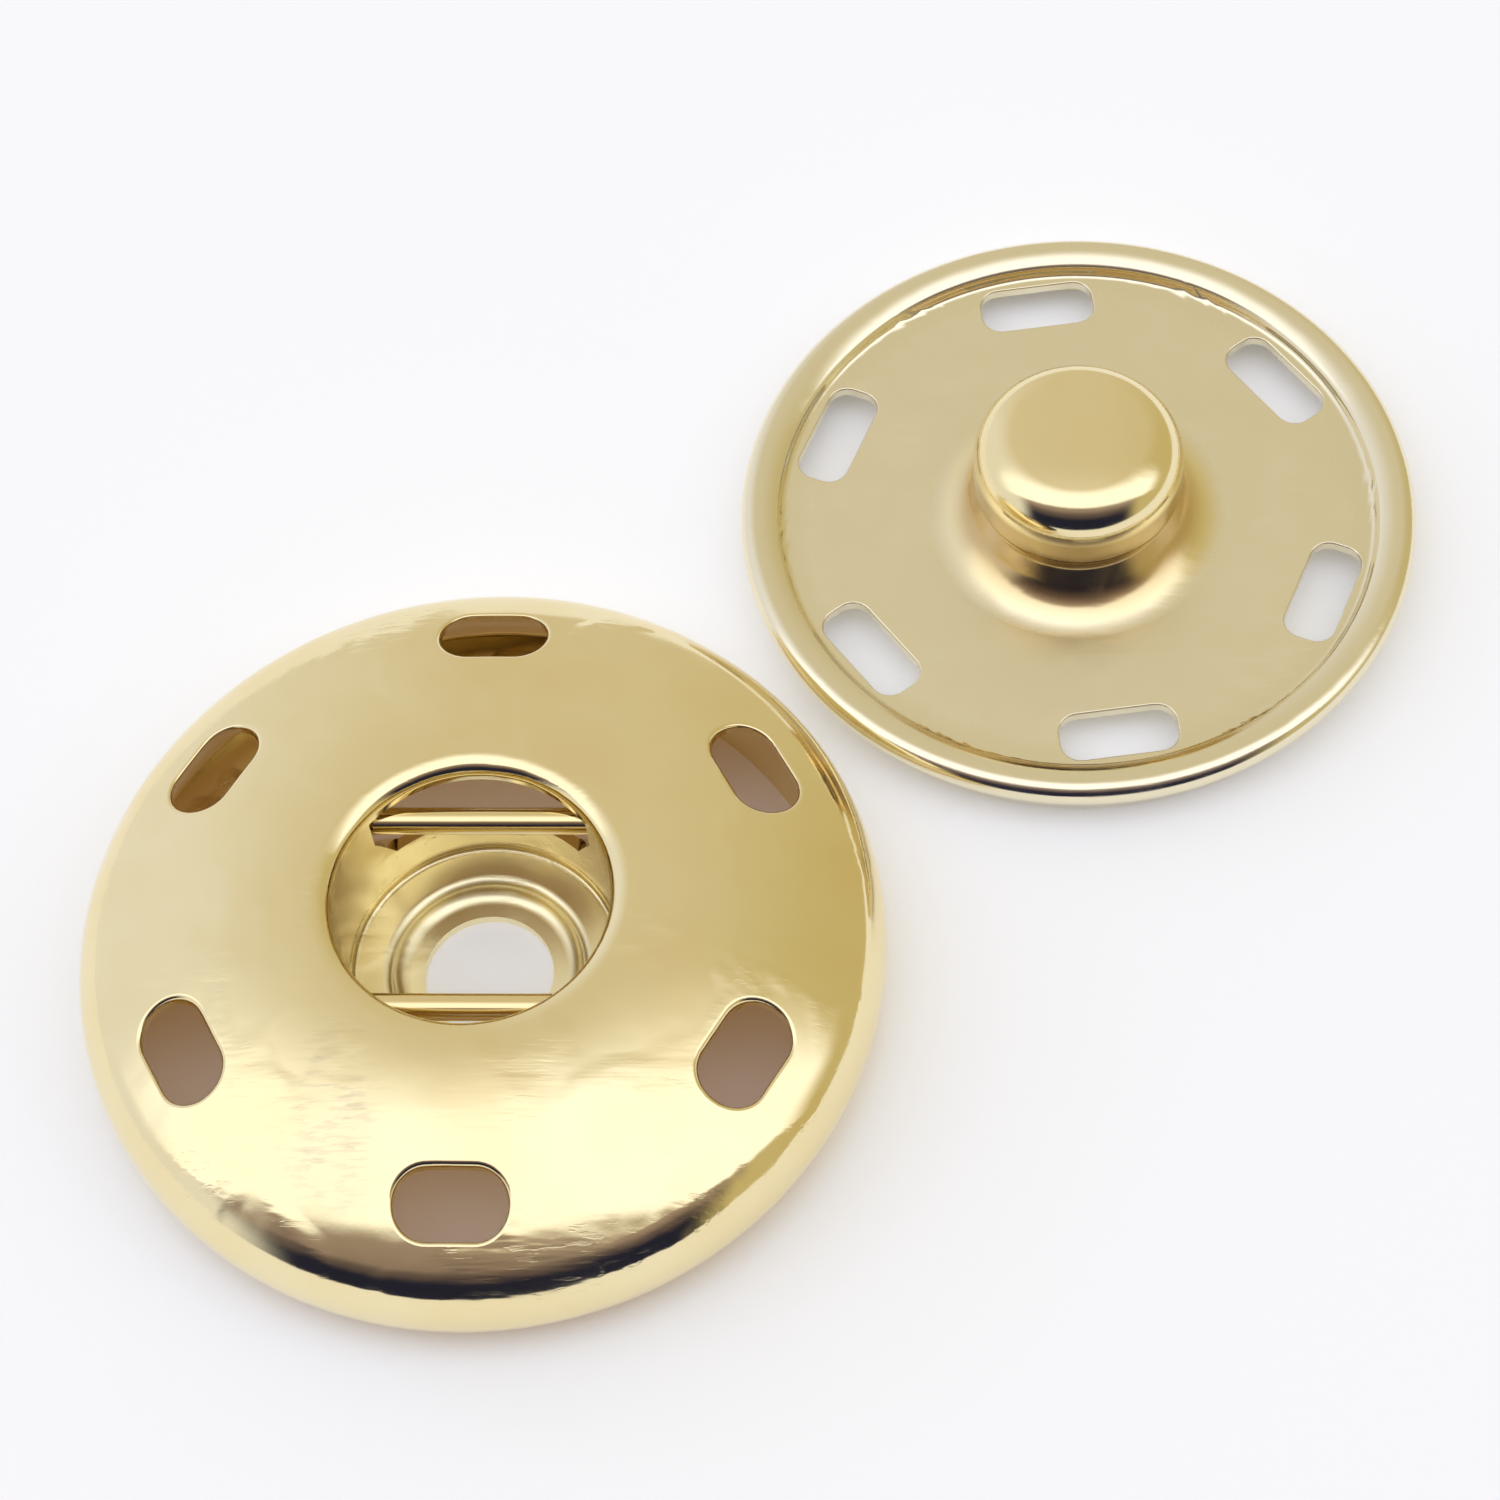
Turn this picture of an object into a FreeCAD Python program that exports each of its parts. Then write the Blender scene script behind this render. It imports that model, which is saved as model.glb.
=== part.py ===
import FreeCAD, Part
import math
import os

import Sketcher
from FreeCAD import Rotation, Vector

# Sew-on press stud, a pair: a socket half with a wire spring and a stud half, side by side, face up.
# Each half is drawn from one piece of sheet brass, and each has a rim that stands on the surface.
# Frame: +Z up, +X along the two legs of the socket's spring, origin under the middle of the pair.
# Sizes are millimetres, and angles are degrees.

SIZES = {
    # The pair
    "pair_gap": 1.35,               # between the two rims, at their nearest
    "pair_direction": 42.0,         # of the stud half, seen from the socket half
    "stud_half_turn": 8.3,          # of the stud half's slots, about its own axis
    # Socket half: outline of the drawn sheet, seen face up
    "socket_rim_radius": 12.5,
    "socket_sheet": 0.35,
    "socket_shoulder_radius": 2.15,
    "socket_shoulder_centre": 2.15,     # height of the shoulder's centre
    "rim_taper": 30.0,              # how far the skirt under the rim leans in
    "lip_height": 5.9,
    "lip_bend": 0.45,
    "mouth_radius": 4.25,
    "well_corner": 0.45,
    "ledge_height": 0.85,
    "ledge_radius": 3.3,            # where the ledge ends and the step begins
    "step_slope": 60.0,
    "step_ridge": 0.45,
    "step_foot": 0.25,
    "floor_hole_radius": 2.03,
    # Socket half: sewing slots
    "slot_count": 6,
    "socket_slot_inset": 2.78,      # of the middle of each slot, from the rim
    "socket_slot_length": 3.4,
    "socket_slot_width": 2.0,
    "slot_edge": 0.12,              # rounding left by the piercing punch
    # Socket half: the two windows in the well's wall, which the spring's legs pass through
    "window_head_drop": 0.7,        # below the top of the lip
    "window_sill_height": 2.6,
    "window_sill_width": 5.7,
    "window_clearance": 0.12,       # round the wire
    # Spring
    "wire_radius": 0.42,
    "wire_height": 4.45,
    "leg_offset": 3.2,              # of each leg, from the socket's axis
    "leg_reach": 4.2,               # from the axis to where the legs bend, both ways
    "hook_bend": 1.5,
    "hook_tail": 0.9,
    # Stud half: outline of the drawn sheet, seen face up
    "plate_rim_radius": 11.1,
    "plate_sheet": 0.35,
    "bead_radius": 1.1,
    "bead_centre": 1.3,             # height of the bead's centre
    "bead_slope": 80.0,
    "bead_inner": 0.4,
    "bead_foot": 0.2,
    "plate_height": 1.3,
    "base_radius": 4.95,            # where the stud's foot begins
    "base_bend": 1.9,
    "neck_radius": 3.05,
    "neck_bend": 0.35,
    "undercut": 35.0,
    "head_radius": 3.4,
    "head_edge": 0.45,
    "head_edge_height": 3.45,
    "head_shoulder": 1.45,
    "head_crown": 14.0,             # radius of the slightly domed top
    "head_height": 5.95,
    # Stud half: sewing slots
    "plate_slot_inset": 2.55,       # of the middle of each slot, from the rim
    "plate_slot_length": 3.8,
    "plate_slot_width": 1.7,
    "plate_slot_corner": 0.65,
}

NOTHING = 1e-9
LEAST_SHEET_AREA = 20.0     # mm2: the sheet's own faces are larger, and a slot's walls are smaller
LEAST_RISE = 0.3            # how far up the normal of a face that looks up points
XY = "XY_Plane"
XZ = "XZ_Plane"


class Size:
    """A number together with the sheet formula that gives it, so that both stay the same."""

    def __init__(self, value, text):
        self.value = value
        self.text = text

    def __add__(self, other):
        other = as_size(other)
        return Size(self.value + other.value, f"({self.text} + {other.text})")

    def __sub__(self, other):
        other = as_size(other)
        return Size(self.value - other.value, f"({self.text} - {other.text})")

    def __mul__(self, other):
        other = as_size(other)
        return Size(self.value * other.value, f"{self.text} * {other.text}")

    def __truediv__(self, other):
        other = as_size(other)
        return Size(self.value / other.value, f"{self.text} / ({other.text})")

    def __neg__(self):
        return Size(-self.value, f"(-1 * {self.text})")


def as_size(number):
    return number if isinstance(number, Size) else Size(float(number), repr(float(number)))


def root(size):
    return Size(math.sqrt(size.value), f"sqrt({size.text})")


def facing(angle):
    """The direction at an angle above the +r axis, as two sizes."""
    angle = as_size(angle)
    turn = math.radians(angle.value)
    across = Size(math.cos(turn), f"cos({angle.text} * 1 deg)")
    along = Size(math.sin(turn), f"sin({angle.text} * 1 deg)")
    return across, along


UP = (as_size(0), as_size(1))
OUT = (as_size(1), as_size(0))
IN = (as_size(-1), as_size(0))

doc = FreeCAD.newDocument("press_stud")
sheet = doc.addObject("Spreadsheet::Sheet", "sizes")
for row, (name, number) in enumerate(SIZES.items(), start=1):
    sheet.set(f"A{row}", name)
    sheet.set(f"B{row}", str(number))
    sheet.setAlias(f"B{row}", name)
doc.recompute()


def size(name):
    return Size(float(sheet.get(name)), f"sizes.{name}")


def new_body(label):
    body = doc.addObject("PartDesign::Body", label)
    body.Label = label
    return body


def new_sketch(body, name, plane):
    """An empty sketch on one of the body's own origin planes."""
    sketch = body.newObject("Sketcher::SketchObject", name)
    support = [part for part in body.Origin.OriginFeatures if part.Role == plane][0]
    sketch.AttachmentSupport = [(support, "")]
    sketch.MapMode = "FlatFace"
    return sketch


def pin_coordinate(sketch, kind, element, point, coordinate):
    """Holds one coordinate of a point at a size, measured from the sketch's origin."""
    if abs(coordinate.value) < NOTHING:
        axis = -2 if kind == "DistanceX" else -1
        sketch.addConstraint(Sketcher.Constraint("PointOnObject", element, point, axis))
        return
    if coordinate.value > 0:
        ends = (-1, 1, element, point)
        held = coordinate
    else:
        ends = (element, point, -1, 1)
        held = -coordinate
    index = sketch.addConstraint(Sketcher.Constraint(kind, *ends, held.value))
    sketch.setExpression(f"Constraints[{index}]", held.text)


def bend_centre(start, end, radius, side):
    """The centre of an arc from start to end, to the left (1) or the right (-1) of its chord."""
    chord = end - start
    reach = math.sqrt(max(radius * radius - chord.Length * chord.Length / 4, 0))
    left = Vector(-chord.y, chord.x, 0).normalize()
    return start + chord * 0.5 + left * (side * reach)


def draw(sketch, corners, bends, closed=True):
    """Draws lines and arcs from corner to corner, every coordinate and radius tied to the sheet.

    A bend is None for a straight line, or a radius and a side: 1 where the centre lies to the left.
    """
    points = [Vector(x.value, y.value, 0) for x, y in corners]
    last = len(corners) if closed else len(corners) - 1
    joints = []
    for index in range(last):
        start = points[index]
        end = points[(index + 1) % len(points)]
        bend = bends[index]
        if bend is None:
            element = sketch.addGeometry(Part.LineSegment(start, end))
            joints.append((element, 1, 2))
            continue
        radius, side = bend
        centre = bend_centre(start, end, radius.value, side)
        first, second = (start, end) if side > 0 else (end, start)
        angles = [math.atan2(point.y - centre.y, point.x - centre.x) for point in (first, second)]
        circle = Part.Circle(centre, Vector(0, 0, 1), radius.value)
        element = sketch.addGeometry(Part.ArcOfCircle(circle, angles[0], angles[1]))
        joints.append((element, 1, 2) if side > 0 else (element, 2, 1))
        if (end - start).Length > 2 * radius.value - 1e-6:
            pin_coordinate(sketch, "DistanceX", element, 3, (corners[index][0]))
        else:
            held = sketch.addConstraint(Sketcher.Constraint("Radius", element, radius.value))
            sketch.setExpression(f"Constraints[{held}]", radius.text)
    for index in range(last):
        element, start_point, end_point = joints[index]
        pin_coordinate(sketch, "DistanceX", element, start_point, corners[index][0])
        pin_coordinate(sketch, "DistanceY", element, start_point, corners[index][1])
        if closed or index < last - 1:
            following, next_point, _ = joints[(index + 1) % last]
            meet = Sketcher.Constraint("Coincident", element, end_point, following, next_point)
            sketch.addConstraint(meet)
        else:
            pin_coordinate(sketch, "DistanceX", element, end_point, corners[-1][0])
            pin_coordinate(sketch, "DistanceY", element, end_point, corners[-1][1])


def draw_sheet_section(sketch, stations, thickness, foot_taper):
    """Draws the section of a drawn sheet: its face, station by station, and its back one sheet below.

    A station is r, height, the way that the face looks there, and the radius of the bend before it.
    Every bend is tangent to what it joins, so the back follows with the same centres.
    """
    face = []
    back = []
    face_bends = []
    back_bends = []
    for index, (r, height, normal, radius) in enumerate(stations):
        face.append((r, height))
        back.append((r - thickness * normal[0], height - thickness * normal[1]))
        if index == 0:
            continue
        before = stations[index - 1][2]
        outward = before[0].value * normal[1].value - before[1].value * normal[0].value > 0
        if radius is None:
            face_bends.append(None)
            back_bends.append(None)
        elif outward:
            face_bends.append((radius, 1))
            back_bends.append((radius - thickness, -1))
        else:
            face_bends.append((radius, -1))
            back_bends.append((radius + thickness, 1))
    back[0] = (face[0][0] - thickness / foot_taper, as_size(0))
    corners = face + back[::-1]
    draw(sketch, corners, face_bends + [None] + back_bends[::-1] + [None])


def revolve(body, sketch):
    turned = body.newObject("PartDesign::Revolution", "turned")
    turned.Profile = sketch
    turned.ReferenceAxis = (sketch, ["V_Axis"])
    turned.Angle = 360
    return turned


def repeat_round(body, feature, count, name):
    """Repeats a feature evenly about the body's own Z axis."""
    pattern = body.newObject("PartDesign::PolarPattern", name)
    pattern.Originals = [feature]
    axis = [part for part in body.Origin.OriginFeatures if part.Role == "Z_Axis"][0]
    pattern.Axis = (axis, [""])
    pattern.Angle = 360
    pattern.setExpression("Occurrences", count)
    body.Tip = pattern
    return pattern


def cut_through(body, sketch, name):
    """Cuts a sketch on the XY plane upwards through everything."""
    pocket = body.newObject("PartDesign::Pocket", name)
    pocket.Profile = sketch
    pocket.Type = "ThroughAll"
    pocket.Reversed = True
    return pocket


def round_slot_edges(body, pattern, circle, half_width, half_length):
    """Rounds the edges that the slots leave in the upper face of the sheet."""
    doc.recompute()
    shape = pattern.Shape
    names = []
    for number, edge in enumerate(shape.Edges, start=1):
        middle = edge.CenterOfMass
        reach = math.hypot(middle.x, middle.y)
        if abs(reach - circle) > half_width + half_length or edge.Length > 2 * half_length + half_width:
            continue
        heights = [vertex.Z for vertex in edge.Vertexes]
        beside = shape.ancestorsOfType(edge, Part.Face)
        on_face = [face for face in beside if face.Area > LEAST_SHEET_AREA]
        if not on_face or max(heights) - min(heights) > half_width:
            continue
        normal = on_face[0].normalAt(*on_face[0].Surface.parameter(middle))
        if normal.z > LEAST_RISE:
            names.append(f"Edge{number}")
    fillet = body.newObject("PartDesign::Fillet", "slot_edges")
    fillet.Base = (pattern, names)
    fillet.setExpression("Radius", "sizes.slot_edge")
    body.Tip = fillet
    return fillet


def socket_section():
    """Stations of the socket half's face, from the rim's foot in to the hole in the well's floor."""
    sheet_gauge = size("socket_sheet")
    taper = facing(-size("rim_taper"))
    shoulder = size("socket_shoulder_radius")
    shoulder_r = size("socket_rim_radius") - shoulder
    shoulder_z = size("socket_shoulder_centre")
    skirt_r = shoulder_r + shoulder * taper[0]
    skirt_z = shoulder_z + shoulder * taper[1]
    foot_r = skirt_r + skirt_z * taper[1] / taper[0]
    lip_r = size("mouth_radius") + size("lip_bend")
    lip_z = size("lip_height")

    # The dome is level at the lip and runs on into the shoulder.
    run = shoulder_r - lip_r
    rise = lip_z - shoulder_z
    dome = (run * run + rise * rise - shoulder * shoulder) / ((rise - shoulder) * 2)
    dome_z = lip_z - dome
    join = (run / (dome - shoulder), (shoulder_z - dome_z) / (dome - shoulder))

    # The step down from the ledge is a ridge, a short slope and a foot.
    slope = facing(size("step_slope"))
    ridge = size("step_ridge")
    foot = size("step_foot")
    step_side = (-slope[1], slope[0])
    ridge_r = size("ledge_radius") - ridge * slope[1]
    ridge_z = size("ledge_height") - ridge * (as_size(1) - slope[0])
    slope_z = sheet_gauge + foot * (as_size(1) - slope[0])
    slope_r = ridge_r - (ridge_z - slope_z) * slope[0] / slope[1]
    floor_r = slope_r - foot * slope[1]

    corner = size("well_corner")
    mouth = size("mouth_radius")
    ledge_z = size("ledge_height")
    stations = [
        (foot_r, as_size(0), taper, None),
        (skirt_r, skirt_z, taper, None),
        (lip_r + dome * join[0], dome_z + dome * join[1], join, shoulder),
        (lip_r, lip_z, UP, dome),
        (mouth, lip_z - size("lip_bend"), IN, size("lip_bend")),
        (mouth, ledge_z + corner, IN, None),
        (mouth - corner, ledge_z, UP, corner),
        (size("ledge_radius"), ledge_z, UP, None),
        (ridge_r, ridge_z, step_side, ridge),
        (slope_r, slope_z, step_side, None),
        (floor_r, sheet_gauge, UP, foot),
        (size("floor_hole_radius"), sheet_gauge, UP, None),
    ]
    return stations, taper[0]


def draw_obround(sketch, circle, length, width):
    """A slot with round ends, centred on the slot circle, its length across the sketch."""
    end = width / 2
    flat = length / 2 - end
    corners = [(flat, circle - end), (flat, circle + end), (-flat, circle + end), (-flat, circle - end)]
    draw(sketch, corners, [(end, 1), None, (end, 1), None])


def draw_rounded_slot(sketch, circle, length, width, corner):
    """A slot with four rounded corners, centred on the slot circle."""
    along = length / 2
    across = width / 2
    low = circle - across
    high = circle + across
    corners = [
        (corner - along, low), (along - corner, low), (along, low + corner), (along, high - corner),
        (along - corner, high), (corner - along, high), (-along, high - corner), (-along, low + corner),
    ]
    draw(sketch, corners, [None, (corner, 1)] * 4)


def make_socket_shell():
    """One drawn sheet: rim, dome, lip and stepped well, with six sewing slots and two windows."""
    body = new_body("socket_shell")
    section = new_sketch(body, "section", XZ)
    stations, foot_taper = socket_section()
    draw_sheet_section(section, stations, size("socket_sheet"), foot_taper)
    revolve(body, section)

    window = new_sketch(body, "window_outline", XZ)
    wall = size("mouth_radius") + size("socket_sheet")
    inner_wire = size("leg_offset") - size("wire_radius")
    jamb = root(wall * wall - inner_wire * inner_wire) + size("window_clearance")
    sill = size("window_sill_width") / 2
    low = size("window_sill_height")
    bearing = size("wire_height") - size("wire_radius") - size("window_clearance")
    high = size("lip_height") - size("window_head_drop")
    corners = [(-sill, low), (sill, low), (jamb, bearing), (jamb, high), (-jamb, high), (-jamb, bearing)]
    draw(window, corners, [None] * len(corners))
    pierced = body.newObject("PartDesign::Pocket", "window")
    pierced.Profile = window
    pierced.Type = "Length"
    pierced.setExpression("Length", f"{(wall + size('lip_bend')).text}")
    repeat_round(body, pierced, "2", "windows")

    slot = new_sketch(body, "slot_outline", XY)
    circle = size("socket_rim_radius") - size("socket_slot_inset")
    draw_obround(slot, circle, size("socket_slot_length"), size("socket_slot_width"))
    slot_cut = cut_through(body, slot, "slot")
    slots = repeat_round(body, slot_cut, "sizes.slot_count", "slots")
    round_slot_edges(body, slots, circle.value, size("socket_slot_width").value / 2,
                     size("socket_slot_length").value / 2)
    return body


def make_socket_spring():
    """One bent wire: two legs across the mouth, a loop round one side of the well, hooks at the other."""
    body = new_body("socket_spring")
    leg = size("leg_offset")
    reach = size("leg_reach")
    hook = size("hook_bend")
    wire_z = size("wire_height")
    hook_x = -(reach + hook)
    bend_y = leg - hook
    tail_y = bend_y - size("hook_tail")

    route = new_sketch(body, "route", XY)
    route.setExpression("AttachmentOffset.Base.z", wire_z.text)
    corners = [
        (hook_x, tail_y), (hook_x, bend_y), (-reach, leg), (reach, leg),
        (reach, -leg), (-reach, -leg), (hook_x, -bend_y), (hook_x, -tail_y),
    ]
    bends = [None, (hook, -1), None, (leg, -1), None, (hook, -1), None]
    draw(route, corners, bends, closed=False)

    round_wire = new_sketch(body, "wire_section", XZ)
    round_wire.setExpression("AttachmentOffset.Base.z", (-tail_y).text)
    centre = Vector(hook_x.value, wire_z.value, 0)
    wire = size("wire_radius")
    circle = round_wire.addGeometry(Part.Circle(centre, Vector(0, 0, 1), wire.value))
    pin_coordinate(round_wire, "DistanceX", circle, 3, hook_x)
    pin_coordinate(round_wire, "DistanceY", circle, 3, wire_z)
    held = round_wire.addConstraint(Sketcher.Constraint("Radius", circle, wire.value))
    round_wire.setExpression(f"Constraints[{held}]", wire.text)

    pipe = body.newObject("PartDesign::AdditivePipe", "wire")
    pipe.Profile = round_wire
    pipe.Spine = (route, [f"Edge{number}" for number in range(1, len(corners))])
    return body


def plate_section():
    """Stations of the stud half's face, from the rim's foot in to the top of the stud."""
    taper = facing(-size("rim_taper"))
    bead = size("bead_radius")
    bead_r = size("plate_rim_radius") - bead
    bead_z = size("bead_centre")
    skirt_r = bead_r + bead * taper[0]
    skirt_z = bead_z + bead * taper[1]
    foot_r = skirt_r + skirt_z * taper[1] / taper[0]

    # Inside the bead the sheet turns down to the plate: a bend, a short slope and a tight foot.
    slope = facing(size("bead_slope"))
    inner = size("bead_inner")
    foot = size("bead_foot")
    inner_side = (-slope[1], slope[0])
    crest_z = bead_z + bead
    inner_r = bead_r - inner * slope[1]
    inner_z = crest_z - inner * (as_size(1) - slope[0])
    plate_z = size("plate_height")
    crease_z = plate_z + foot * (as_size(1) - slope[0])
    crease_r = inner_r - (inner_z - crease_z) * slope[0] / slope[1]
    plate_r = crease_r - foot * slope[1]

    # The neck's hollow, tangent to the undercut below the head's edge and to the cone above the base.
    undercut = size("undercut")
    below = facing(-undercut)
    neck = size("neck_bend")
    neck_r = size("neck_radius") + neck
    edge = size("head_edge")
    edge_r = size("head_radius") - edge
    edge_z = size("head_edge_height")
    drop = (edge + neck - (neck_r - edge_r) * below[0]) / (-below[1])
    neck_z = edge_z - drop
    neck_side_r = neck_r - neck * below[0]
    neck_top_z = neck_z - neck * below[1]

    # The cone leaves the neck and runs into the base's bend, and its slope follows from the two.
    base = size("base_bend")
    base_r = size("base_radius")
    base_z = plate_z + base
    apart_r = base_r - neck_r
    apart_z = neck_z - base_z
    distance = root(apart_r * apart_r + apart_z * apart_z)
    lean = (base - neck) / distance
    level = root(as_size(1) - lean * lean)
    cone = (apart_z / distance * level + apart_r / distance * lean,
            apart_r / distance * level - apart_z / distance * lean)

    crown = size("head_crown")
    shoulder = size("head_shoulder")
    shoulder_r = size("head_radius") - shoulder
    top_z = size("head_height")
    crown_z = top_z - crown
    reach = crown - shoulder
    shoulder_rise = root(reach * reach - shoulder_r * shoulder_r)
    shoulder_z = crown_z + shoulder_rise
    join = (shoulder_r / reach, shoulder_rise / reach)
    stations = [
        (foot_r, as_size(0), taper, None),
        (skirt_r, skirt_z, taper, None),
        (bead_r, crest_z, UP, bead),
        (inner_r, inner_z, inner_side, inner),
        (crease_r, crease_z, inner_side, None),
        (plate_r, plate_z, UP, foot),
        (base_r, plate_z, UP, None),
        (base_r - base * cone[0], base_z - base * cone[1], cone, base),
        (neck_r - neck * cone[0], neck_z - neck * cone[1], cone, None),
        (neck_side_r, neck_top_z, below, neck),
        (edge_r + edge * below[0], edge_z + edge * below[1], below, None),
        (edge_r + edge, edge_z, OUT, edge),
        (shoulder_r + shoulder, shoulder_z, OUT, None),
        (crown * join[0], crown_z + crown * join[1], join, shoulder),
        (as_size(0), top_z, UP, crown),
    ]
    return stations, taper[0]


def make_stud_plate():
    """One drawn sheet: rim bead, plate and hollow stud, with six sewing slots."""
    body = new_body("stud_plate")
    section = new_sketch(body, "section", XZ)
    stations, foot_taper = plate_section()
    draw_sheet_section(section, stations, size("plate_sheet"), foot_taper)
    revolve(body, section)

    slot = new_sketch(body, "slot_outline", XY)
    circle = size("plate_rim_radius") - size("plate_slot_inset")
    draw_rounded_slot(slot, circle, size("plate_slot_length"), size("plate_slot_width"),
                      size("plate_slot_corner"))
    slot_cut = cut_through(body, slot, "slot")
    repeat_round(body, slot_cut, "sizes.slot_count", "slots")
    return body


def place(body, x, y, turn):
    """Sets a half down at its place in the pair."""
    body.Placement = FreeCAD.Placement(Vector(x.value, y.value, 0), Rotation(Vector(0, 0, 1), turn.value))
    body.setExpression("Placement.Base.x", x.text)
    body.setExpression("Placement.Base.y", y.text)
    body.setExpression("Placement.Rotation.Angle", f"{turn.text} * 1 deg")


def place_pair(socket_parts, stud_parts):
    """Lays the two halves side by side, with the origin under the middle of the box round both."""
    socket_rim = size("socket_rim_radius")
    plate_rim = size("plate_rim_radius")
    apart = socket_rim + size("pair_gap") + plate_rim
    direction = facing(size("pair_direction"))
    stud_x = (apart * direction[0] + socket_rim - plate_rim) / 2
    stud_y = (apart * direction[1] + socket_rim - plate_rim) / 2
    for body in socket_parts:
        place(body, stud_x - apart * direction[0], stud_y - apart * direction[1], as_size(0))
    for body in stud_parts:
        place(body, stud_x, stud_y, size("stud_half_turn"))


def export(bodies):
    """Writes each piece to parts/, after every object and every shape has been looked at."""
    doc.recompute()
    for item in doc.Objects:
        if "Invalid" in item.State or "Error" in item.State:
            raise RuntimeError(f"{item.Label} did not recompute: {item.State}")
    for body in bodies:
        if body.Shape.isNull() or not body.Shape.isValid() or len(body.Shape.Solids) != 1:
            raise RuntimeError(f"{body.Label} is not one sound solid")
    os.makedirs("parts", exist_ok=True)
    for body in bodies:
        body.Shape.exportStep(f"parts/{body.Label}.step")
        box = body.Shape.BoundBox
        print(f"{body.Label}: {body.Shape.Volume:.2f} mm3, z {box.ZMin:.3f} to {box.ZMax:.3f}")


socket_shell = make_socket_shell()
socket_spring = make_socket_spring()
stud_plate = make_stud_plate()
place_pair([socket_shell, socket_spring], [stud_plate])
export([socket_shell, socket_spring, stud_plate])
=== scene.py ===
import math
from collections import namedtuple

import bpy
import numpy as np
from mathutils import Matrix, Vector


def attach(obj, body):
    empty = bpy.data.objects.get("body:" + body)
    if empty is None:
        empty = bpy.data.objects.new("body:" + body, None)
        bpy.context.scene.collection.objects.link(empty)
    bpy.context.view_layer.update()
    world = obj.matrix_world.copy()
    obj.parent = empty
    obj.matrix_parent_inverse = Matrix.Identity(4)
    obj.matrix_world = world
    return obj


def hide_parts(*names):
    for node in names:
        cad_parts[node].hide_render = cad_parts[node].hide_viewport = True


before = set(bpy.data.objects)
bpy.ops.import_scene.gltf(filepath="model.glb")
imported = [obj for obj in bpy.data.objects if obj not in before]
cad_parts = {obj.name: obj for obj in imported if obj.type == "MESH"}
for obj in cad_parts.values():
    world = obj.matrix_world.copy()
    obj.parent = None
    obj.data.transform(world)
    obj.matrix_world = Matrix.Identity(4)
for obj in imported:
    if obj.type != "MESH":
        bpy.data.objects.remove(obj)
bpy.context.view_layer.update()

# A sew-on press stud in pale gold plating: a socket half with a wire spring, and a stud half.
# Sizes are millimetres and MM turns them into metres. They are the driving sizes of the CAD model, apart
# from bends, slopes and the bead's crest, which are fitted more closely here because the shine shows them.
MM = 0.001
TINY = 1e-6

# The pair
PAIR_GAP = 1.35
PAIR_DIRECTION = 42.0
STUD_HALF_TURN = 8.3

# Socket half
SOCKET_RIM = 12.5
SOCKET_SHEET = 0.35
SOCKET_SHOULDER = 2.15
SOCKET_SHOULDER_CENTRE = 2.15
RIM_TAPER = 30.0
LIP_HEIGHT = 5.9
LIP_ROLL = 0.8
LIP_LEAN = 28.0
LIP_BEND = 0.45
MOUTH_RADIUS = 4.25
WELL_CORNER = 0.2
LEDGE_HEIGHT = 0.85
LEDGE_RADIUS = 3.3
STEP_SLOPE = 60.0
STEP_RIDGE = 0.36
STEP_FOOT = 0.6
FLOOR_HOLE = 2.03
SOCKET_SLOT_CIRCLE = SOCKET_RIM - 2.78
SOCKET_SLOT_LENGTH = 3.4
SOCKET_SLOT_WIDTH = 2.0
WINDOW_HEAD_DROP = 0.7
WINDOW_SILL = 2.6
WINDOW_SILL_WIDTH = 5.7
WINDOW_CLEARANCE = 0.12

# Spring
WIRE_RADIUS = 0.42
WIRE_HEIGHT = 4.45
LEG_OFFSET = 3.2
LEG_REACH = 4.2
HOOK_BEND = 1.5
HOOK_TAIL = 0.9

# Stud half
PLATE_RIM = 11.1
PLATE_SHEET = 0.35
BEAD = 0.5
BEAD_CENTRE = 1.36
BEAD_SLOPE = 70.0
BEAD_INNER = 1.3
BEAD_FALL = 27.0
BEAD_STEP = 0.4
PLATE_TAPER = 25.0
BEAD_FOOT = 0.2
PLATE_HEIGHT = 1.3
BASE_RADIUS = 4.95
BASE_BEND = 1.9
NECK_RADIUS = 3.05
NECK_BEND = 0.35
UNDERCUT = 35.0
HEAD_RADIUS = 3.4
HEAD_EDGE = 0.45
HEAD_EDGE_HEIGHT = 3.45
HEAD_SHOULDER = 1.45
HEAD_CROWN = 14.0
HEAD_HEIGHT = 5.95
PLATE_SLOT_CIRCLE = PLATE_RIM - 2.55
PLATE_SLOT_LENGTH = 3.8
PLATE_SLOT_WIDTH = 1.7
PLATE_SLOT_CORNER = 0.65

SLOT_COUNT = 6

# Rounding of the slots' edges, left by the punch
SLOT_EDGE = 0.16
PLATE_SLOT_EDGE = 0.06

# Numbers of the stations in the two sections where a stretch ends
DOME_END = 3
LIP_ROLL_END = 4
LIP_END = 5
WALL_END = 6
WELL_CORNER_END = 7
BEAD_INNER_END = 3
BEAD_SLOPE_END = 5
FLAT_END = 7

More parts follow.
